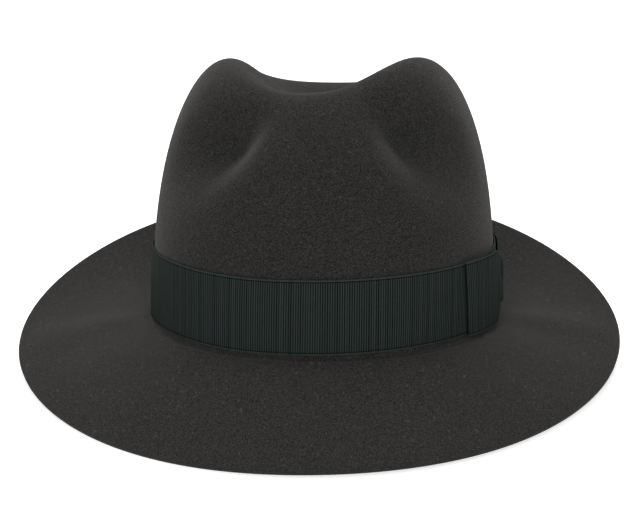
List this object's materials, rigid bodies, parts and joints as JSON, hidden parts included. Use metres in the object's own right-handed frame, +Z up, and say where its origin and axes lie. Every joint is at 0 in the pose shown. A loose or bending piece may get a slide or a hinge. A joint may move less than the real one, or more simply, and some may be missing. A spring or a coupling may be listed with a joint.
{
  "type": "fedora hat",
  "caption": "Felt fedora with a centre-dented, front-pinched crown, a wide snap brim, a ribbon band with a flat side bow, a leather sweatband and a lining.",
  "frame": {"origin": "centre of the hat's outline on the surface it stands on", "axes": "-Y is the front of the hat, +X the wearer's left (the bow side), +Z up from the table, with the hat standing on its brim"},
  "size_m": [0.3016, 0.3249, 0.1539],
  "materials": {
    "felt": "brushed fur felt",
    "ribbon": "grosgrain ribbon",
    "bow_ribbon": "grosgrain ribbon, folded",
    "thread": "matte thread",
    "sweat_leather": "smooth roan leather",
    "reed_cloth": "woven piping",
    "pale_thread": "waxed thread",
    "small_ribbon": "narrow ribbon",
    "paper": "plain card",
    "satin": "satin",
    "piping_cord": "gathered cord",
    "clear_sheet": "clear flexible sheet"
  },
  "bodies": {
    "hat": {"felt_body": "felt", "hat_band": "ribbon", "bow_front_wing": "bow_ribbon", "bow_rear_wing": "bow_ribbon", "bow_knot": "bow_ribbon", "band_tacks": "thread", "sweatband": "sweat_leather", "sweatband_reed": "reed_cloth", "sweatband_stitches": "pale_thread", "sweatband_bow": "small_ribbon", "size_ticket": "paper", "lining_side": "satin", "lining_top": "satin", "lining_piping": "piping_cord", "crown_shield": "clear_sheet"},
    "front_brim": {"felt_front_brim": "felt"}
  },
  "joints": [
    {"name": "front_brim_snap", "type": "hinge", "parent": "hat", "child": "front_brim", "pos_m": [0.00243, -0.10962, 0.03242], "axis": [-1, 0, 0], "range_deg": [0, 40]}
  ]
}
